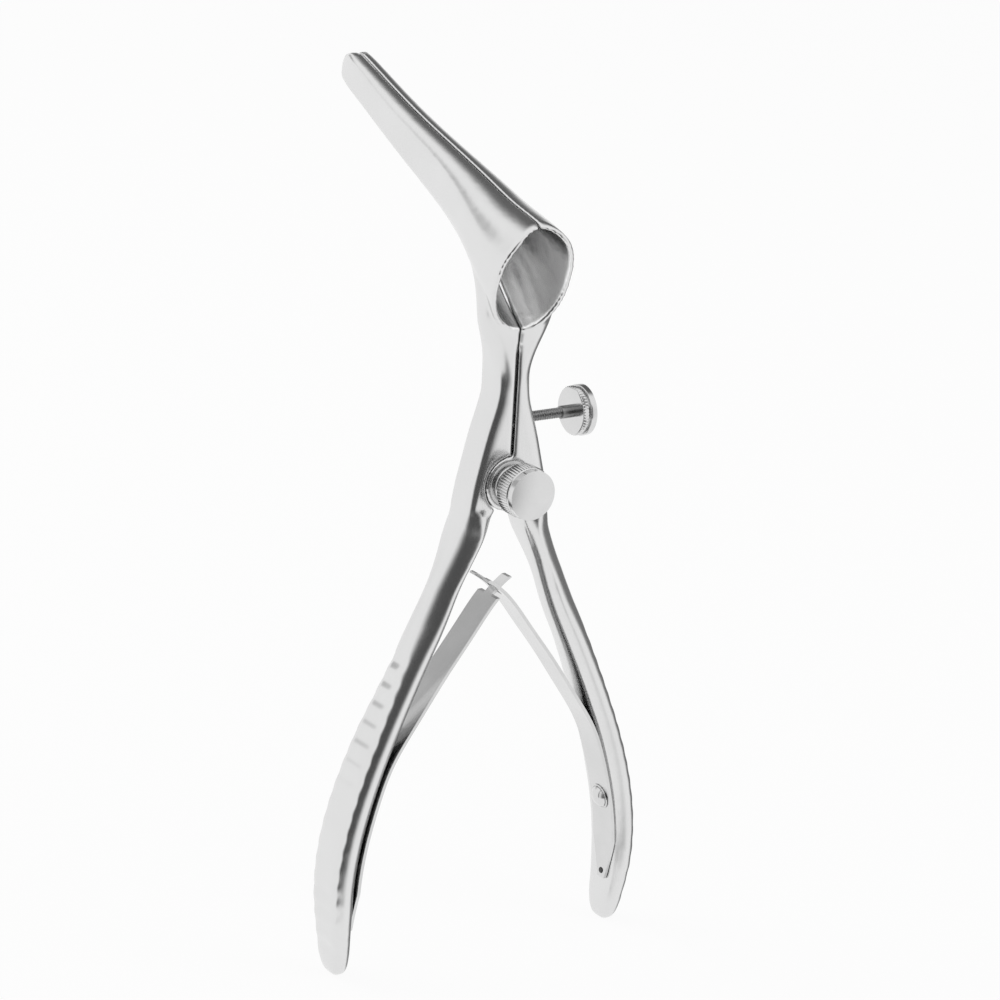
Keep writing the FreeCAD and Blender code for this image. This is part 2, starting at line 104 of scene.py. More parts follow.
def add_node(tree: bpy.types.NodeTree, kind: str,
             settings: dict[str, object] | None = None,
             inputs: dict[str | int, object] | None = None) -> bpy.types.Node:
    """Add one node, with its settings and its inputs.

    Args:
        tree: the node tree that takes the node.
        kind: the node's type name.
        settings: the node's own properties.
        inputs: values by socket name or number; a socket is linked, anything else is set.

    Returns:
        The new node.
    """
    node = tree.nodes.new(kind)
    for name, value in (settings or {}).items():
        setattr(node, name, value)
    for name, value in (inputs or {}).items():
        if isinstance(value, bpy.types.NodeSocket):
            tree.links.new(value, node.inputs[name])
        else:
            node.inputs[name].default_value = value
    return node


@dataclass(frozen=True)
class SteelFinish:
    """Stainless surgical steel, and how one of its surfaces was finished.

    Sizes are in millimetres. The colour drifts between bright and dull in clouds
    of cloud_mm, and the roughness along polishing lines line_mm apart that are
    line_stretch times as long.
    """

    name: str
    bright: str
    dull: str
    roughness: float
    roughness_spread: float
    cloud_mm: float
    line_mm: float
    line_stretch: float
    line_way: Grain
    line_depth: float

    def material(self) -> bpy.types.Material:
        """Build the finish's material.

        Returns:
            A material whose patterns lie in the row frame, in millimetres.
        """
        made = bpy.data.materials.new(self.name)
        made.use_nodes = True
        tree = made.node_tree
        tree.nodes.clear()
        place = add_node(tree, "ShaderNodeTexCoord").outputs["Object"]
        across = 1 / (self.line_mm * MM)
        scale = [across, across, across]
        scale[self.line_way.value] = across / self.line_stretch
        stretched = add_node(tree, "ShaderNodeMapping", {"vector_type": "POINT"},
                             {"Vector": place, "Scale": scale}).outputs["Vector"]
        lines = add_node(tree, "ShaderNodeTexNoise", {"noise_dimensions": "3D"},
                         {"Vector": stretched, "Scale": 1.0, "Detail": 3.0,
                          "Roughness": 0.6}).outputs["Fac"]
        clouds = add_node(tree, "ShaderNodeTexNoise", {"noise_dimensions": "3D"},
                          {"Vector": place, "Scale": 1 / (self.cloud_mm * MM), "Detail": 4.0,
                           "Roughness": 0.55}).outputs["Fac"]
        tint = add_node(tree, "ShaderNodeMix", {"data_type": "RGBA"},
                        {"Factor": clouds, "A": to_linear(self.dull),
                         "B": to_linear(self.bright)})
        rough = add_node(tree, "ShaderNodeMapRange", {},
                         {"Value": lines, "From Min": 0.3, "From Max": 0.7,
                          "To Min": self.roughness - self.roughness_spread,
                          "To Max": self.roughness + self.roughness_spread})
        bump = add_node(tree, "ShaderNodeBump", {},
                        {"Height": lines, "Strength": self.line_depth, "Distance": 0.02 * MM})
        shader = add_node(tree, "ShaderNodeBsdfPrincipled", {},
                          {"Metallic": 1.0, "Base Color": tint.outputs["Result"],
                           "Roughness": rough.outputs["Result"],
                           "Normal": bump.outputs["Normal"]})
        add_node(tree, "ShaderNodeOutputMaterial", {}, {"Surface": shader.outputs["BSDF"]})
        return made


# Forged stainless steel, matt brushed lengthwise: broad soft reflections.
SATIN_FORGED = SteelFinish("stainless_forged_satin", "#e4e4e4", "#dcdcdc", 0.2, 0.04,
                           9.0, 0.12, 22.0, Grain.ALONG_Z, 0.15)
# The cup's and the blade's lining, polished by hand with a soft bob: wide soft gleams; its
# colour is lighter than the forging's: painted light inside the cup and the blade.
LINING_PAINTED_LIGHTER = SteelFinish("stainless_lining_painted_lighter", "#f4f4f4", "#ececec", 0.24, 0.03,
                           6.0, 0.25, 6.0, Grain.ALONG_Y, 0.03)
# Turned stainless steel, buffed on the wheel: sharp reflections, faint rings.
BUFFED_TURNED = SteelFinish("stainless_turned_buffed", "#dedede", "#d3d3d3", 0.15, 0.03,
                            3.0, 0.10, 1.0, Grain.ALONG_Y, 0.1)
# Rolled spring steel strip, ground and polished along the strip; its colour is a little darker
# than the forging's: painted shade on the springs.
ROLLED_STRIP_PAINTED_SHADE = SteelFinish("stainless_strip_polished_painted_shade", "#dedede", "#cfcfcf", 0.2, 0.04,
                           5.0, 0.09, 26.0, Grain.ALONG_Z, 0.15)
# Thread cut with a die and left as cut, with a broken gleam; its darker colour is painted shade
# on the shank and the shoulder.
THREAD_PAINTED_SHADE = SteelFinish("stainless_thread_painted_shade", "#a6a6a6", "#7c7c7c", 0.34, 0.08,
                      0.8, 0.12, 1.0, Grain.ALONG_X, 0.4)
# Pins riveted flush, their ends painted dark: painted shade for the dark dot at each spring's
# foot.
PIN_PAINTED_SHADE = SteelFinish("stainless_pin_painted_shade", "#5a5a5a", "#3c3c3c", 0.35, 0.05,
                           0.5, 0.12, 1.0, Grain.ALONG_X, 0.2)


def mesh_piece(name: str, verts: list[Point], faces: list[tuple[int, ...]],
               material: bpy.types.Material, smooth_angle: float = 35.0) -> bpy.types.Object:
    """Make an object from points in millimetres.

    Args:
        name: the piece's name.
        verts: points in millimetres, in the row frame.
        faces: each face as vertex numbers.
        material: the piece's finish.
        smooth_angle: edges sharper than this, in degrees, stay crisp.

    Returns:
        The object, linked into the scene.
    """
    mesh = bpy.data.meshes.new(name)
    mesh.from_pydata([(x * MM, y * MM, z * MM) for x, y, z in verts], [], faces)
    mesh.validate()
    tidy = bmesh.new()
    tidy.from_mesh(mesh)
    bmesh.ops.remove_doubles(tidy, verts=tidy.verts, dist=WELD)
    bmesh.ops.recalc_face_normals(tidy, faces=tidy.faces)
    for face in tidy.faces:
        face.smooth = True
    for edge in tidy.edges:
        edge.smooth = edge.calc_face_angle(0.0) < math.radians(smooth_angle)
    tidy.to_mesh(mesh)
    tidy.free()
    mesh.materials.append(material)
    piece = bpy.data.objects.new(name, mesh)
    bpy.context.scene.collection.objects.link(piece)
    return piece


@dataclass(frozen=True)
class Ring:
    """One ring of a turned profile: how far along, its radius, and its knurl depth."""

    along: float
    radius: float
    knurl: float = 0.0


def rounded(corners: list[Ring], fillets: tuple[float, ...], steps: int = 5) -> list[Ring]:
    """Round the corners of a turned profile.

    Args:
        corners: the profile's corner rings in order.
        fillets: the rounding at each corner, 0 for a sharp one.
        steps: points on each rounding.

    Returns:
        The profile with each rounded corner replaced by points on its curve.
    """
    made: list[Ring] = []
    for index, ring in enumerate(corners):
        size = fillets[index]
        if size <= 0 or index in (0, len(corners) - 1):
            made.append(ring)
            continue
        before, after = corners[index - 1], corners[index + 1]
        here = Vector((ring.along, ring.radius))
        back = Vector((before.along, before.radius)) - here
        on = Vector((after.along, after.radius)) - here
        reach = min(size, back.length * 0.49, on.length * 0.49)
        start = here + back.normalized() * reach
        end = here + on.normalized() * reach
        for step in range(steps + 1):
            t = step / steps
            point = start * (1 - t) ** 2 + here * (2 * t * (1 - t)) + end * t ** 2
            made.append(Ring(point.x, point.y, ring.knurl))
    return made


def turned(name: str, rings: list[Ring], place: Matrix, material: bpy.types.Material,
           segments: int = 96, knurls: int = 0) -> bpy.types.Object:
    """Turn a profile about the piece's own axis.

    Args:
        name: the piece's name.
        rings: the profile, in millimetres along the axis.
        place: where the axis stands; its Z is the turning axis, in millimetres.
        material: the piece's finish.
        segments: points round each ring.
        knurls: how many grooves stand round a knurled ring.

    Returns:
        The turned piece.
    """
    verts: list[Point] = []
    faces: list[tuple[int, ...]] = []
    for ring in rings:
        for k in range(segments):
            turn = 2 * math.pi * k / segments
            wave = abs(2 * ((turn * knurls / (2 * math.pi)) % 1.0) - 1)
            radius = max(ring.radius - ring.knurl * wave, 0.0)
            around = (radius * math.cos(turn), radius * math.sin(turn), ring.along)
            verts.append(tuple(place @ Vector(around)))
    for row in range(len(rings) - 1):
        for k in range(segments):
            following = (k + 1) % segments
            a, b = row * segments, (row + 1) * segments
            faces.append((a + k, a + following, b + following, b + k))
    faces.append(tuple(range(segments)))
    faces.append(tuple((len(rings) - 1) * segments + k for k in range(segments)))
    return mesh_piece(name, verts, faces, material)


def dome(start: float, radius: float, rise: float, steps: int = 10) -> list[Ring]:
    """Rings of a shallow spherical face that ends on the axis.

    Args:
        start: how far along the dome's rim lies.
        radius: the rim's radius.
        rise: how high the dome stands over its rim.
        steps: rings from rim to crown.

    Returns:
        The dome's rings, without the rim itself.
    """
    ball = (radius ** 2 + rise ** 2) / (2 * rise)
    made = []
    for step in range(1, steps + 1):
        r = radius * (1 - step / steps)
        made.append(Ring(start + rise - ball + math.sqrt(ball ** 2 - r ** 2), r))
    return made


@dataclass
class ForgedHalf:
    """One forged half of the instrument: blade, cup, neck, joint and handle.

    The solid is given an even skin, laid back on its exact faces and then
    softened, as the polishing belt softens every edge of a real forging.
    Sizes are in millimetres; each table goes by height, or by distance along
    the blade's axis, and softening counts passes.
    """

    side: Side
    skin_mm: float = 0.27
    softening: int = 5
    crown_levels: tuple[float, ...] = (-80, -50, -42, -37, -30, -22, -8, -4.0)
    crown_radii: tuple[float, ...] = (1.2, 1.7, 2.0, 2.4, 3.2, 4.4, 4.4, 2.4)
    swell_levels: tuple[float, ...] = (-40, -28, -16, -9)
    swell_shares: tuple[float, ...] = (0, 1, 1, 0)
    swell_out: float = 0.4
    swell_forward: float = 1.2
    swell_start: float = 2.0
    swell_reach: float = 4.5
    handle_thick: float = 4.9
    handle_foot: float = -76.0
    station_levels: tuple[float, float] = (-79.0, -4.0)
    station_step: float = 0.7
    station_reach: float = 0.4
    rib_stations: int = 3
    fill_turn: float = 72.0
    fill_fade: float = 15.0
    fill_depth: float = 0.9
    fill_levels: tuple[float, float] = (-74.0, -66.0)
    grip_softening: int = 40
    soft_levels: tuple[float, ...] = (-80, -78, -18, -13, -4.5, -3.5)
    soft_shares: tuple[float, ...] = (0, 1, 1, 0.4, 0.4, 0)
    belt_softening: int = 45
    pass_reach: float = 0.5
    blade_tilt: float = 17.0
    blade_up: float = 30.0
    tip_along: float = 62.6
    tip_length: float = 5.0
    tip_narrowing: float = 0.35
    lining_start: float = 1.3
    lining_up: float = 25.0
    lining_seam: float = 0.45
    lining_lean: float = 0.5
    lining_along: tuple[float, ...] = (-1.5, 5.5, 10.5, 16.0, 23.0, 34.0, 48.0, 66.0)
    lining_middle: tuple[float, ...] = (34.7, 35.8, 36.8, 37.7, 38.4, 38.7, 39.4, 40.4)
    belt_levels: tuple[float, ...] = (-6.4, -1.0, 3.8, 9.3, 14.5, 17.0, 23.0, 27.0, 34.0)
    belt_edges: tuple[float, ...] = (8.3, 7.25, 6.1, 4.65, 3.15, 3.0, 4.9, 6.5, 6.0)
    belt_widths: tuple[float, ...] = (0.8, 1.2, 2.0, 2.6, 2.4, 2.2, 2.4, 2.4, 1.5)
    belt_front: float = 3.2
    belt_end_levels: tuple[float, ...] = (-4.6, -3.8, 17.0, 23.0)
    belt_end_shares: tuple[float, ...] = (0, 1, 1, 0)

    def skin(self, node: bpy.types.Object) -> bpy.types.Mesh:
        """Cover the solid with small even faces.

        Args:
            node: the CAD half.

        Returns:
            The skin, in millimetres.
        """
        rough = node.data.copy()
        rough.transform(Matrix.Scale(1 / MM, 4))
        carrier = bpy.data.objects.new("skin_carrier", rough)
        bpy.context.scene.collection.objects.link(carrier)
        remesh = carrier.modifiers.new("skin", "REMESH")
        remesh.mode = "VOXEL"
        remesh.voxel_size = self.skin_mm
        graph = bpy.context.evaluated_depsgraph_get()
        made = bpy.data.meshes.new_from_object(carrier.evaluated_get(graph))
        bpy.data.objects.remove(carrier)
        return made

    def belt(self, points: np.ndarray) -> np.ndarray:
        """Say how far each point lies in the strip that the belt rounds off.

        The strip is the front outer edge of the neck and the joint.

        Args:
            points: points in millimetres, one a row.

        Returns:
            A share from 0 to 1 for each point, one a row.
        """
        across, front, level = np.abs(points[:, 0]), -points[:, 1], points[:, 2]
        edge = np.interp(level, self.belt_levels, self.belt_edges)
        wide = np.interp(level, self.belt_levels, self.belt_widths)
        share = np.clip(across - edge + wide, 0, 1) * np.clip(front - self.belt_front, 0, 1)
        ends = np.interp(level, self.belt_end_levels, self.belt_end_shares)
        return (share * ends)[:, None]

    def outline(self, points: np.ndarray) -> tuple[np.ndarray, np.ndarray]:
        """Measure the handle's outer side and its front at each point's height.

        The side follows the crests of the grip ribs, smoothed along the handle.

        Args:
            points: points in millimetres, one a row.

        Returns:
            The side and the front for each point.
        """
        across, level = np.abs(points[:, 0]), points[:, 2]
        stations = np.arange(*self.station_levels, self.station_step)
        sides, fronts = [], []
        for station in stations:
            near = np.abs(level - station) < self.station_reach
            sides.append(across[near].max())
            fronts.append(points[near, 1].min())
        slope = np.polyval(np.polyfit(stations, sides, 5), stations)
        rise, ribs = np.array(sides) - slope, self.rib_stations
        rise = np.array([rise[max(0, k - ribs):k + ribs + 1].max() for k in range(len(rise))])
        spread = 2 * (ribs + 1) + 1
        rise = np.convolve(np.pad(rise, ribs + 1, mode="edge"), np.full(spread, 1 / spread),
                           mode="valid")
        return np.interp(level, stations, slope + rise), np.interp(level, stations, fronts)

    def crown(self, points: np.ndarray) -> np.ndarray:
        """Swell the upper handle a little and round its front outer corner.

        Args:
            points: points in millimetres, one a row.

        Returns:
            The same points, with those outside the crown's arc drawn in to it
            and those just inside it filled out to it.
        """
        side, front = self.outline(points)
        across, level = np.abs(points[:, 0]), points[:, 2]
        swell = np.interp(level, self.swell_levels, self.swell_shares) * (level < 0)
        outer = np.clip((across - side) / self.handle_thick + 1, 0, 1)
        rear = np.clip((points[:, 1] - front - self.swell_start) / self.swell_reach, 0, 1)
        points = points.copy()
        points[:, 0] += np.sign(points[:, 0]) * self.swell_out * swell * outer
        points[:, 1] -= self.swell_forward * swell * rear
        across, side = np.abs(points[:, 0]), side + self.swell_out * swell
        radius = np.interp(level, self.crown_levels, self.crown_radii)
        inward = radius - (side - across)
        back = radius - (points[:, 1] - front)
        far = np.maximum(np.hypot(inward, back), 1e-6)
        turn = np.degrees(np.arctan2(inward, back))
        filled = np.clip((self.fill_turn - turn) / self.fill_fade, 0, 1)
        filled *= (far > radius - self.fill_depth) * np.interp(level, self.fill_levels, (0, 1))
        handle = (level < self.crown_levels[-1]) & (level > self.handle_foot)
        corner = handle & (inward > 0) & (back > 0)
        draw = (radius / far - 1) * np.where(far > radius, 1.0, filled) * corner
        points[:, 0] += np.sign(points[:, 0]) * inward * draw
        points[:, 1] -= back * draw
        return points

    def soften(self, mesh: bpy.types.Mesh, node: bpy.types.Object) -> None:
        """Lay the skin on the exact faces, then round what stands sharp.

        Args:
            mesh: the skin, in millimetres.
            node: the CAD half.
        """
        points = np.empty(len(mesh.vertices) * 3)
        mesh.vertices.foreach_get("co", points)
        points = points.reshape(-1, 3)
        faces = [tuple(p.vertices) for p in node.data.polygons]
        exact = BVHTree.FromPolygons([v.co / MM for v in node.data.vertices], faces)
        points = np.array([exact.find_nearest(Vector(p))[0] for p in points])
        edges = np.empty(len(mesh.edges) * 2, dtype=int)
        mesh.edges.foreach_get("vertices", edges)
        a, b = edges.reshape(-1, 2).T
        ends, others = np.concatenate((a, b)), np.concatenate((b, a))
        count = len(points)
        links = np.bincount(ends, minlength=count)
        points = self.tip(self.crown(points))
        belt = self.belt(points) * self.pass_reach
        grip = np.interp(points[:, 2], self.soft_levels, self.soft_shares)[:, None]
        grip *= self.pass_reach
        for step in range(self.softening + self.belt_softening):
            reach = self.pass_reach if step < self.softening else belt
            if self.softening <= step < self.softening + self.grip_softening:
                reach = np.maximum(reach, grip)
            middle = np.stack([np.bincount(ends, points[others, k], count) / links
                               for k in range(3)], axis=1)
            points = points + (middle - points) * reach
        mesh.vertices.foreach_set("co", (points * MM).ravel())
        mesh.polygons.foreach_set("use_smooth", [True] * len(mesh.polygons))
        mesh.update()

    def along_up(self, points: np.ndarray) -> tuple[np.ndarray, np.ndarray]:
        """Measure points in the blade's tilted frame.

        Args:
            points: points or directions in millimetres, one a row.

        Returns:
            How far each lies along the blade's axis, and how far above it.
        """
        tilt = math.radians(self.blade_tilt)
        return (points[:, 1] * math.cos(tilt) + points[:, 2] * math.sin(tilt),
                points[:, 2] * math.cos(tilt) - points[:, 1] * math.sin(tilt))

    def tip(self, points: np.ndarray) -> np.ndarray:
        """Draw the blade's end in towards the seam, so that it closes to a rounded tip.

        Args:
            points: points in millimetres, one a row.

        Returns:
            The same points, with the end of the blade narrowed.
        """
        along, up = self.along_up(points)
        share = np.clip((along - self.tip_along + self.tip_length) / self.tip_length, 0, 1)
        made = points.copy()
        made[:, 0] *= np.where(up > self.blade_up, 1 - self.tip_narrowing * share ** 2, 1)
        return made

    def hollow(self, mesh: bpy.types.Mesh) -> np.ndarray:
        """Find the faces that line the cup and the blade, which take the lighter steel of
        painted light.

        Args:
            mesh: the skin, in metres.

        Returns:
            1 for each face of the lining and 0 for every other face.
        """
        centres = np.empty(len(mesh.polygons) * 3)
        normals = np.empty(len(mesh.polygons) * 3)
        mesh.polygons.foreach_get("center", centres)
        mesh.polygons.foreach_get("normal", normals)
        centres, normals = centres.reshape(-1, 3) / MM, normals.reshape(-1, 3)
        along, up = self.along_up(centres)
        _, rise = self.along_up(normals)
        middle = np.interp(along, self.lining_along, self.lining_middle)
        inward = (middle - up) * rise - centres[:, 0] * normals[:, 0]
        away = np.hypot(middle - up, centres[:, 0])
        faces_in = inward > self.lining_lean * away
        clear = (np.abs(centres[:, 0]) > self.lining_seam) & (along > self.lining_start)
        return (faces_in & clear & (up > self.lining_up)).astype(int)

    def build(self, finish: SteelFinish, inside: SteelFinish) -> bpy.types.Object:
        """Make the half's polished form in place of its solid.

        Args:
            finish: the surface of the forging.
            inside: the surface of the cup's and the blade's lining, a lighter copy of the steel:
                painted light.

        Returns:
            The half, riding on its arm.
        """
        word = self.side.word
        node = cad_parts[word + "_half"]
        mesh = self.skin(node)
        self.soften(mesh, node)
        mesh.name = word + "_half_forging"
        mesh.materials.clear()
        mesh.materials.append(finish.material())
        mesh.materials.append(inside.material())
        # The lining's faces take the lighter copy of the steel: painted light inside the cup and
        # the blade.
        mesh.polygons.foreach_set("material_index", self.hollow(mesh))
        piece = bpy.data.objects.new(mesh.name, mesh)
        bpy.context.scene.collection.objects.link(piece)
        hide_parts(word + "_half")
        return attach(piece, word + "_arm")


@dataclass
class PivotScrew:
    """The large knurled pivot screw at the front of the joint.

    Its axis runs along -Y from the back of the shaft, which lies at back_y.
    """

    back_y: float = -0.92
    shaft: float = 4.85
    shaft_radius: float = 1.5
    collar: float = 1.05
    collar_radius: float = 3.35
    groove: float = 1.25
    groove_radius: float = 2.55
    rim: float = 3.0
    rim_radius: float = 4.3
    rim_chamfer: float = 0.35
    rim_step: float = 0.2
    knurls: int = 56
    knurl_points: int = 10
    knurl_depth: float = 0.22
    face: float = 1.35
    face_radius: float = 4.05
    face_step: float = 0.1
    face_lip: float = 0.25
    rise: float = 0.22
    fillets: tuple[float, ...] = (0, 0.2, 0.1, 0.1, 0.35, 0.25, 0.25, 0.2, 0, 0, 0.1, 0.1,
                                  0.1, 0)

    def build(self, finish: SteelFinish) -> bpy.types.Object:
        """Turn the screw, knurl its rim and put it on the joint.

        Args:
            finish: the screw's surface.

        Returns:
            The screw, riding on the left arm.
        """
        s0 = self.shaft
        s1 = s0 + self.collar
        s2 = s1 + self.groove
        s3 = s2 + self.rim
        s4 = s3 + self.face
        cut, bevel, step = self.knurl_depth, self.rim_chamfer, self.face_step
        corners = [Ring(0, AXIS), Ring(0, self.shaft_radius), Ring(s0, self.shaft_radius),
                   Ring(s0, self.collar_radius), Ring(s1, self.collar_radius),
                   Ring(s1, self.groove_radius), Ring(s2, self.groove_radius),
                   Ring(s2, self.rim_radius - bevel), Ring(s2 + bevel, self.rim_radius, cut),
                   Ring(s3 - self.rim_step, self.rim_radius, cut),
                   Ring(s3, self.rim_radius - cut), Ring(s3 + step, self.face_radius - step),
                   Ring(s3 + self.face_lip, self.face_radius), Ring(s4, self.face_radius)]
        rings = rounded(corners, self.fillets) + dome(s4, self.face_radius, self.rise)
        place = Matrix.Translation((0, self.back_y, 0)) @ Matrix.Rotation(math.pi / 2, 4, "X")
        piece = turned("pivot_screw_turned", rings, place, finish.material(),
                       self.knurls * self.knurl_points, self.knurls)
        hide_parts("pivot_screw")
        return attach(piece, "left_arm")


@dataclass
class SetScrew:
    """The long set screw: a threaded shank and a head of two discs.

    Its axis runs along +X from the tip, which lies at tip_x.
    """

    tip_x: float = -0.23
    side_y: float = -3.05
    height: float = 9.8
    pitch: float = 0.45
    thread: float = 11.0
    thread_start: float = 0.5
    thread_radius: float = 0.85
    thread_depth: float = 0.16
    thread_slope: float = 1.25
    tip_radius: float = 0.45
    points_around: int = 40
    rows_per_turn: int = 8
    shoulder: float = 1.9
    shoulder_radius: float = 1.05
    shoulder_lap: float = 0.2
    shoulder_sink: float = 0.1
    shoulder_fillets: tuple[float, ...] = (0, 0.15, 0, 0)
    disc: float = 1.05
    disc_radius: float = 4.0
    disc_chamfer: float = 0.3
    disc_bevel: float = 0.25
    disc_step: float = 0.2
    disc_knurl: float = 0.18
    waist: float = 0.3
    waist_radius: float = 3.55
    head: float = 1.0
    head_radius: float = 4.15
    rise: float = 0.2
    knurls: int = 48
    knurl_points: int = 6
    fillets: tuple[float, ...] = (0, 0.15, 0, 0, 0.1, 0.05, 0.05, 0.2, 0)

    def place(self) -> Matrix:
        """The screw's axis in the row frame, in millimetres."""
        return (Matrix.Translation((self.tip_x, self.side_y, self.height))
                @ Matrix.Rotation(math.pi / 2, 4, "Y"))

    def shank(self, material: bpy.types.Material) -> bpy.types.Object:
        """Cut the thread as one helical skin.

        Args:
            material: the thread's darker finish, painted shade.

        Returns:
            The threaded shank.
        """
        around = self.points_around
        rows = int(self.thread / self.pitch * self.rows_per_turn)
        verts: list[Point] = []
        faces: list[tuple[int, ...]] = []
        place = self.place()
        for row in range(rows + 1):
            along = self.thread_start + (self.thread - self.thread_start) * row / rows
            for k in range(around):
                turn = 2 * math.pi * k / around
                phase = (along / self.pitch - k / around) % 1.0
                crest = min(1.0, (1 - abs(2 * phase - 1)) * self.thread_slope)
                radius = self.thread_radius - self.thread_depth * (1 - crest)
                point = (radius * math.cos(turn), radius * math.sin(turn), along)
                verts.append(tuple(place @ Vector(point)))
        for row in range(rows):
            for k in range(around):
                following = (k + 1) % around
                a, b = row * around, (row + 1) * around
                faces.append((a + k, a + following, b + following, b + k))
        faces.append(tuple(rows * around + k for k in range(around)))
        tip = [len(verts) + k for k in range(around)]
        for k in range(around):
            turn, radius = 2 * math.pi * k / around, self.tip_radius
            point = (radius * math.cos(turn), radius * math.sin(turn), 0)
            verts.append(tuple(place @ Vector(point)))
        for k in range(around):
            following = (k + 1) % around
            faces.append((tip[k], tip[following], following, k))
        faces.append(tuple(tip))
        return mesh_piece("set_screw_thread", verts, faces, material, smooth_angle=60.0)

    def build(self, finish: SteelFinish, thread: SteelFinish) -> list[bpy.types.Object]:
        """Make the shank, the shoulder and the head.

        Args:
            finish: the head's surface.
            thread: the surface of the shank and the shoulder, darker: painted shade.

        Returns:
            The screw's pieces, riding on its body.
        """
        # The shank and the shoulder take the darker finish: painted shade.
        material, cut = finish.material(), thread.material()
        s0 = self.thread - self.shoulder_lap
        s1 = self.thread + self.shoulder
        s2 = s1 + self.disc
        s3 = s2 + self.waist
        s4 = s3 + self.head
        sunk = s1 + self.shoulder_sink
        neck = [Ring(s0, AXIS), Ring(s0, self.shoulder_radius),
                Ring(sunk, self.shoulder_radius), Ring(sunk, AXIS)]
        shoulder = turned("set_screw_shoulder", rounded(neck, self.shoulder_fillets),
                          self.place(), cut)
        knurl, step = self.disc_knurl, self.disc_step
        corners = [Ring(s1, AXIS), Ring(s1, self.disc_radius - self.disc_chamfer),
                   Ring(s1 + self.disc_bevel, self.disc_radius, knurl),
                   Ring(s2 - step, self.disc_radius, knurl), Ring(s2, self.disc_radius - step),
                   Ring(s2, self.waist_radius), Ring(s3, self.waist_radius),
                   Ring(s3, self.head_radius), Ring(s4, self.head_radius)]
        rings = rounded(corners, self.fillets) + dome(s4, self.head_radius, self.rise)
        head = turned("set_screw_head", rings, self.place(), material,
                      self.knurls * self.knurl_points, self.knurls)
        shank = self.shank(cut)
        for piece in (head, shoulder, shank):
            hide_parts("set_screw")
            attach(piece, "opening_stop")
        return [head, shoulder, shank]


@dataclass
class LeafSpring:
    """One leaf spring, cut into many slices along its length."""

    side: Side
    leave: Point = (20.2, -3.05, -45.0)
    meet: Point = (0.0, -3.05, -18.1)
    slices: int = 70
    crisp_deg: float = 30.0

    def build(self, finish: SteelFinish) -> bpy.types.Object:
        """Copy the strip and slice it across.

        Args:
            finish: the strip's surface, a little darker than the forging: painted shade.

        Returns:
            The spring, sliced across along its length.
        """
        word = self.side.word
        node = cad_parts[word + "_leaf_spring"]
        mesh = node.data.copy()
        mesh.name = word + "_leaf_strip"
        work = bmesh.new()
        work.from_mesh(mesh)
        bmesh.ops.remove_doubles(work, verts=work.verts, dist=WELD)
        low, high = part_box(word + "_leaf_spring")
        for k in range(1, self.slices):
            level = low[2] + (high[2] - low[2]) * k / self.slices
            bmesh.ops.bisect_plane(work, geom=work.verts[:] + work.edges[:] + work.faces[:],
                                   plane_co=(0, 0, level), plane_no=(0, 0, 1))
        for face in work.faces:
            face.smooth = True
        for edge in work.edges:
            edge.smooth = edge.calc_face_angle(0.0) < math.radians(self.crisp_deg)
        work.to_mesh(mesh)
        work.free()
        mesh.materials.clear()
        # The strip's finish is a little darker than the forging's: painted shade on the spring.
        mesh.materials.append(finish.material())
        piece = bpy.data.objects.new(word + "_leaf_strip", mesh)
        bpy.context.scene.collection.objects.link(piece)
        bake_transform(piece)
        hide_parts(word + "_leaf_spring")
        return piece


@dataclass
class SpringFixing:
    """The domed screw and the small pin that hold one spring's foot.

    The screw's axis runs from the end of its shank, square to the handle's
    inner face, to the crown of its head.
    """

    side: Side
    shank_end: Point = (25.838, -3.05, -57.595)
    toward: tuple[float, float] = (-0.9784, -0.2067)
    shank: float = 2.6
    shank_radius: float = 0.9
    collar: float = 0.2
    collar_radius: float = 2.15
    gutter: float = 0.12
    gutter_depth: float = 0.15
    head_radius: float = 1.8
    head_side: float = 0.1
    rise: float = 0.85
    fillets: tuple[float, ...] = (0, 0.1, 0, 0.05, 0.1, 0.05, 0, 0, 0)

    def screw(self, finish: SteelFinish) -> bpy.types.Object:
        """Turn the screw with a low collar round its dome.

        Args:
            finish: the screw's surface.

        Returns:
            The screw, riding on its arm.
        """
        sign, word = self.side.value, self.side.word
        s0 = self.shank
        s1 = s0 + self.collar
        low, high = s1 - self.gutter_depth, s1 + self.head_side
        corners = [Ring(0, AXIS), Ring(0, self.shank_radius), Ring(s0, self.shank_radius),
                   Ring(s0, self.collar_radius), Ring(s1, self.collar_radius),
                   Ring(s1, self.head_radius + self.gutter),
                   Ring(low, self.head_radius + self.gutter / 2),
                   Ring(low, self.head_radius), Ring(high, self.head_radius)]
        rings = rounded(corners, self.fillets) + dome(high, self.head_radius, self.rise)
        place = (Matrix.Translation((sign * self.shank_end[0], *self.shank_end[1:]))
                 @ Matrix.Rotation(math.atan2(sign * self.toward[0], self.toward[1]), 4, "Y"))
        piece = turned(word + "_spring_screw_turned", rings, place, finish.material())
        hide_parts(word + "_spring_screw")
        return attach(piece, word + "_arm")

    def pin(self, finish: SteelFinish) -> bpy.types.Object:
        """Give the pin its dark finish, painted shade.

        Args:
            finish: the pin's surface.

        Returns:
            The pin's own node.
        """
        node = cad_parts[self.side.word + "_spring_pin"]
        node.data.materials.clear()
        # The pin is painted dark: painted shade at the spring's foot.
        node.data.materials.append(finish.material())
        return node


@dataclass(frozen=True)
class TentPatch:
    """A grey patch on the tent's cloth, as the object sees it.

    It is full within full_deg of its middle and gone beyond end_deg.
    """

    toward: Point
    full_deg: float
    end_deg: float
    shade: float


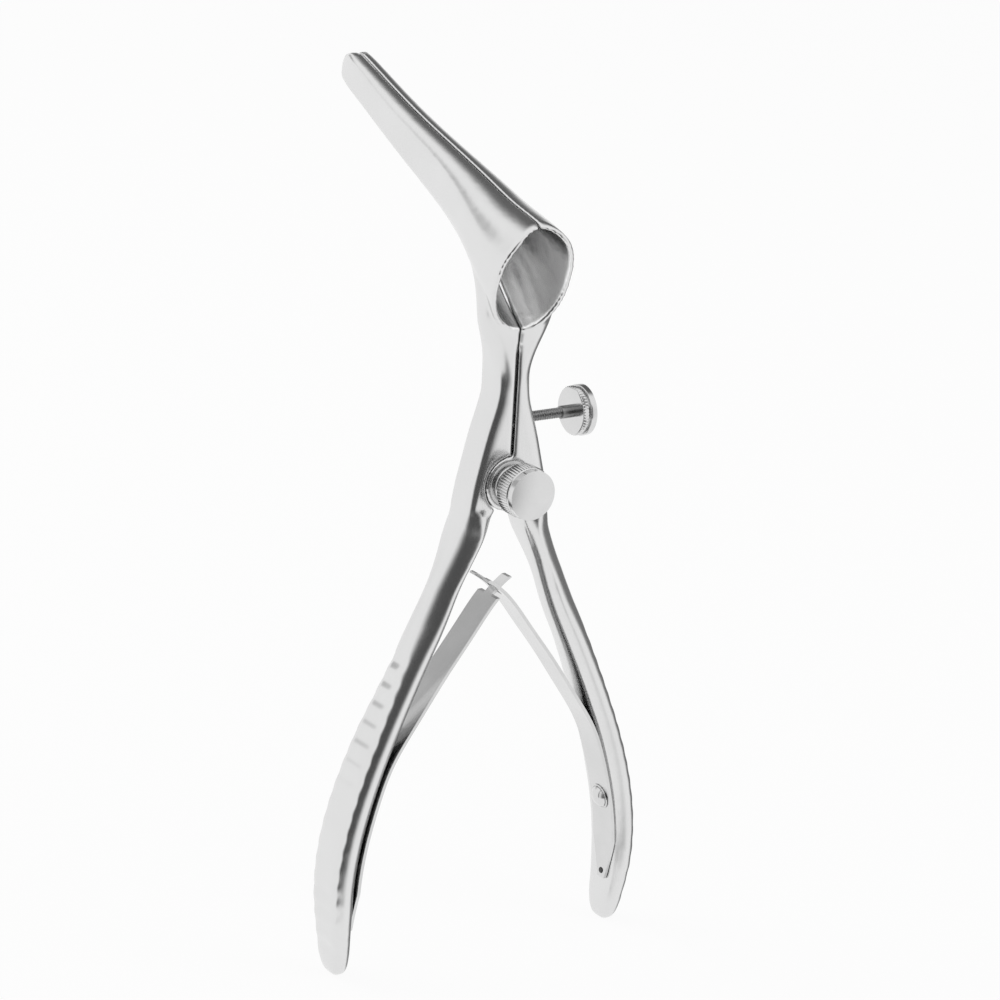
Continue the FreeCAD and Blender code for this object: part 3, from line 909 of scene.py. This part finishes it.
@dataclass(frozen=True)
class TentCurtain:
    """The dark side of the tent, which the camera looks through.

    It is full within full_deg of its bearing and gone beyond end_deg. Upwards, by
    the Z of a ray's direction, it comes in from low to high and is gone at top,
    over its hem.
    """

    bearing_deg: float
    full_deg: float
    end_deg: float
    low: float
    high: float
    top: float
    hem: float
    shade: float


CURTAIN = TentCurtain(245, 25, 60, -0.50, -0.33, 0.55, 0.2, 0.09)
# The dark top, a dark side on the right and a small grey card at the back.
TENT_PATCHES = (TentPatch((0.55, 0.45, 0.7), 18, 45, 0.14),
                TentPatch((0.9, 0.15, -0.2), 18, 38, 0.2),
                TentPatch((-0.42, 0.81, 0.41), 6, 16, 0.5))


@dataclass
class Studio:
    """A white sweep, soft lamps, dark flags for the metal to mirror, and the camera.

    The camera stands where the photograph was taken from, fitted to the object's
    outline: turned 34 degrees to the left, 17.6 degrees above, rolled 3.2 degrees.
    """

    azimuth: float = -34.0
    elevation: float = 17.64
    roll: float = 3.23
    distance_mm: float = 700.0
    aim: Point = (0.0, -3.0, 0.0)
    pixels_per_mm: float = 6.3
    picture: float = 1000.0
    aim_pixel: tuple[float, float] = (500.7, 479.0)
    floor_mm: float = -80.6
    floor_reach: float = 3.0
    floor_glow: float = 0.92
    tent_radius: float = 2.5
    room_light: float = 0.6
    lamp_size: float = 0.6
    lamp_power: float = 2.0

    def directions(self) -> tuple[Vector, Vector, Vector]:
        """The camera's right, up and back directions before the roll."""
        a, e = math.radians(self.azimuth), math.radians(self.elevation)
        back = Vector((math.sin(a) * math.cos(e), -math.cos(a) * math.cos(e), math.sin(e)))
        right = Vector((math.cos(a), math.sin(a), 0))
        return right, back.cross(right), back

    def camera(self) -> None:
        """Set the camera at the photograph's angle and framing."""
        right, up, back = self.directions()
        basis = Matrix((right, up, back)).transposed().to_4x4()
        roll = Matrix.Rotation(math.radians(self.roll), 4, "Z")
        data = bpy.data.cameras.new("camera")
        data.sensor_width = 36.0
        data.lens = self.pixels_per_mm * self.distance_mm / self.picture * data.sensor_width
        data.shift_x = (self.picture / 2 - self.aim_pixel[0]) / self.picture
        data.shift_y = (self.aim_pixel[1] - self.picture / 2) / self.picture
        data.clip_start, data.clip_end = 0.01, 20.0
        camera = bpy.data.objects.new("camera", data)
        spot = Vector(self.aim) * MM + back * self.distance_mm * MM
        camera.matrix_world = Matrix.Translation(spot) @ basis @ roll
        bpy.context.scene.collection.objects.link(camera)
        bpy.context.scene.camera = camera

    def lamp(self, name: str, toward: Point, distance: float) -> None:
        """Hang one square soft lamp that looks at the object.

        Args:
            name: the lamp's name.
            toward: the direction from the object to the lamp.
            distance: how far away it hangs, in metres.
        """
        data = bpy.data.lights.new(name, "AREA")
        data.shape = "SQUARE"
        data.size = self.lamp_size
        data.energy = self.lamp_power
        lamp = bpy.data.objects.new(name, data)
        way = Vector(toward).normalized()
        lamp.location = way * distance
        lamp.rotation_euler = way.to_track_quat("Z", "Y").to_euler()
        lamp.visible_glossy = False
        bpy.context.scene.collection.objects.link(lamp)

    def fade(self, tree: bpy.types.NodeTree, value: bpy.types.NodeSocket,
             span: tuple[float, float], ends: tuple[float, float]) -> bpy.types.NodeSocket:
        """Ease from one end value to the other while a value crosses a span.

        Args:
            tree: the node tree.
            value: the socket that is measured.
            span: where the change starts and where it is complete.
            ends: the result before and after it.

        Returns:
            The result's socket.
        """
        node = add_node(tree, "ShaderNodeMapRange", {"interpolation_type": "SMOOTHSTEP"},
                        {"Value": value, "From Min": span[0], "From Max": span[1],
                         "To Min": ends[0], "To Max": ends[1]})
        return node.outputs["Result"]

    def near(self, tree: bpy.types.NodeTree, ray: bpy.types.NodeSocket, way: Point,
             full_deg: float, end_deg: float, ends: tuple[float, float]) -> bpy.types.NodeSocket:
        """Ease from one end value to the other as a ray turns towards a direction.

        Args:
            tree: the node tree.
            ray: the ray's direction, of length 1.
            way: the direction it is measured against, of length 1.
            full_deg: the angle within which the change is complete.
            end_deg: the angle at which it starts.
            ends: the result far away and close by.

        Returns:
            The result's socket.
        """
        turn = add_node(tree, "ShaderNodeVectorMath", {"operation": "DOT_PRODUCT"},
                        {0: ray, 1: way}).outputs["Value"]
        span = (math.cos(math.radians(end_deg)), math.cos(math.radians(full_deg)))
        return self.fade(tree, turn, span, ends)

    def product(self, tree: bpy.types.NodeTree, first: bpy.types.NodeSocket,
                second: bpy.types.NodeSocket | float) -> bpy.types.NodeSocket:
        """Multiply two values.

        Args:
            tree: the node tree.
            first: one factor.
            second: the other, as a socket or a number.

        Returns:
            The product's socket.
        """
        return add_node(tree, "ShaderNodeMath", {"operation": "MULTIPLY"},
                        {0: first, 1: second}).outputs["Value"]

    def tent(self) -> None:
        """Put the object in a white tent that only the metal's reflections show."""
        mesh = bpy.data.meshes.new("light_tent")
        ball = bmesh.new()
        bmesh.ops.create_uvsphere(ball, u_segments=64, v_segments=32, radius=self.tent_radius)
        ball.to_mesh(mesh)
        ball.free()
        material = bpy.data.materials.new("tent_cloth")
        material.use_nodes = True
        tree = material.node_tree
        tree.nodes.clear()
        place = add_node(tree, "ShaderNodeTexCoord").outputs["Object"]
        toward = add_node(tree, "ShaderNodeVectorMath", {"operation": "NORMALIZE"},
                          {0: place}).outputs["Vector"]
        level = add_node(tree, "ShaderNodeSeparateXYZ", {}, {0: toward}).outputs["Z"]
        flat = add_node(tree, "ShaderNodeVectorMath", {"operation": "MULTIPLY"},
                        {0: toward, 1: (1, 1, 0)}).outputs["Vector"]
        bearing = add_node(tree, "ShaderNodeVectorMath", {"operation": "NORMALIZE"},
                           {0: flat}).outputs["Vector"]
        middle = math.radians(CURTAIN.bearing_deg)
        hung = self.near(tree, bearing, (math.cos(middle), math.sin(middle), 0),
                         CURTAIN.full_deg, CURTAIN.end_deg, (0.0, 1.0))
        above = self.fade(tree, level, (CURTAIN.low, CURTAIN.high), (0.0, 1.0))
        below = self.fade(tree, level, (CURTAIN.top, CURTAIN.top - CURTAIN.hem), (0.0, 1.0))
        dark = self.product(tree, hung, self.product(tree, above, below))
        white = add_node(tree, "ShaderNodeMapRange", {},
                         {"Value": dark, "To Min": 1.0,
                          "To Max": CURTAIN.shade}).outputs["Result"]
        for patch in TENT_PATCHES:
            left = self.near(tree, toward, tuple(Vector(patch.toward).normalized()),
                             patch.full_deg, patch.end_deg, (1.0, patch.shade))
            white = self.product(tree, white, left)
        glow = add_node(tree, "ShaderNodeEmission", {}, {"Strength": white})
        add_node(tree, "ShaderNodeOutputMaterial", {}, {"Surface": glow.outputs["Emission"]})
        mesh.materials.append(material)
        tent = bpy.data.objects.new("light_tent", mesh)
        bpy.context.scene.collection.objects.link(tent)
        tent.visible_camera = False
        tent.visible_diffuse = False
        tent.visible_shadow = False
        tent.visible_transmission = False

    def floor(self) -> None:
        """Lay a pale floor that keeps the object's soft shadow."""
        mesh = bpy.data.meshes.new("floor")
        z, w = self.floor_mm * MM, self.floor_reach
        mesh.from_pydata([(-w, -w, z), (w, -w, z), (w, w, z), (-w, w, z)], [], [(0, 1, 2, 3)])
        material = bpy.data.materials.new("floor_white_paper")
        material.use_nodes = True
        tree = material.node_tree
        tree.nodes.clear()
        rays = add_node(tree, "ShaderNodeLightPath")
        seen = add_node(tree, "ShaderNodeMath", {"operation": "MAXIMUM"},
                        {0: rays.outputs["Is Camera Ray"], 1: rays.outputs["Is Glossy Ray"]})
        share = self.product(tree, seen.outputs["Value"], self.floor_glow)
        paper = add_node(tree, "ShaderNodeBsdfDiffuse", {}, {"Color": to_linear("#f4f4f4")})
        glow = add_node(tree, "ShaderNodeEmission", {}, {"Color": (1, 1, 1, 1), "Strength": 1.0})
        both = add_node(tree, "ShaderNodeMixShader", {},
                        {0: share, 1: paper.outputs["BSDF"], 2: glow.outputs["Emission"]})
        add_node(tree, "ShaderNodeOutputMaterial", {}, {"Surface": both.outputs["Shader"]})
        mesh.materials.append(material)
        plane = bpy.data.objects.new("floor", mesh)
        bpy.context.scene.collection.objects.link(plane)
        plane.visible_glossy = False

    def world(self) -> None:
        """Light the room evenly, and show white where the camera or the metal looks out."""
        world = bpy.data.worlds.new("studio")
        world.use_nodes = True
        bpy.context.scene.world = world
        tree = world.node_tree
        tree.nodes.clear()
        rays = add_node(tree, "ShaderNodeLightPath")
        seen = add_node(tree, "ShaderNodeMath", {"operation": "MAXIMUM"},
                        {0: rays.outputs["Is Camera Ray"], 1: rays.outputs["Is Glossy Ray"]})
        clear = add_node(tree, "ShaderNodeMath", {"operation": "MAXIMUM"},
                         {0: seen.outputs["Value"], 1: rays.outputs["Is Transmission Ray"]})
        strength = add_node(tree, "ShaderNodeMapRange", {},
                            {"Value": clear.outputs["Value"], "To Min": self.room_light,
                            "To Max": 1.0})
        room = add_node(tree, "ShaderNodeBackground", {},
                        {"Color": (1, 1, 1, 1), "Strength": strength.outputs["Result"]})
        add_node(tree, "ShaderNodeOutputWorld", {}, {"Surface": room.outputs["Background"]})

    def build(self) -> None:
        """Put up the whole studio."""
        self.world()
        self.floor()
        self.lamp("key_lamp", (-0.5, 0.75, 0.8), 0.9)
        self.lamp("fill_lamp", (0.55, -0.75, 0.35), 1.0)
        self.tent()
        self.camera()


def main() -> None:
    """Build every piece over the frame, then the studio."""
    logging.basicConfig(level=logging.INFO, format="%(name)s: %(message)s")
    for side in Side:
        half = ForgedHalf(side).build(SATIN_FORGED, LINING_PAINTED_LIGHTER)
        LOG.info("built %s with %d faces", half.name, len(half.data.polygons))
        LOG.info("built %s", LeafSpring(side).build(ROLLED_STRIP_PAINTED_SHADE).name)
        fixing = SpringFixing(side)
        LOG.info("built %s", fixing.screw(BUFFED_TURNED).name)
        LOG.info("dressed %s", fixing.pin(PIN_PAINTED_SHADE).name)
    LOG.info("built %s", PivotScrew().build(BUFFED_TURNED).name)
    for piece in SetScrew().build(BUFFED_TURNED, THREAD_PAINTED_SHADE):
        LOG.info("built %s", piece.name)
    Studio().build()
    scene = bpy.context.scene
    scene.view_settings.view_transform = "Standard"


if __name__ == "__main__":
    main()
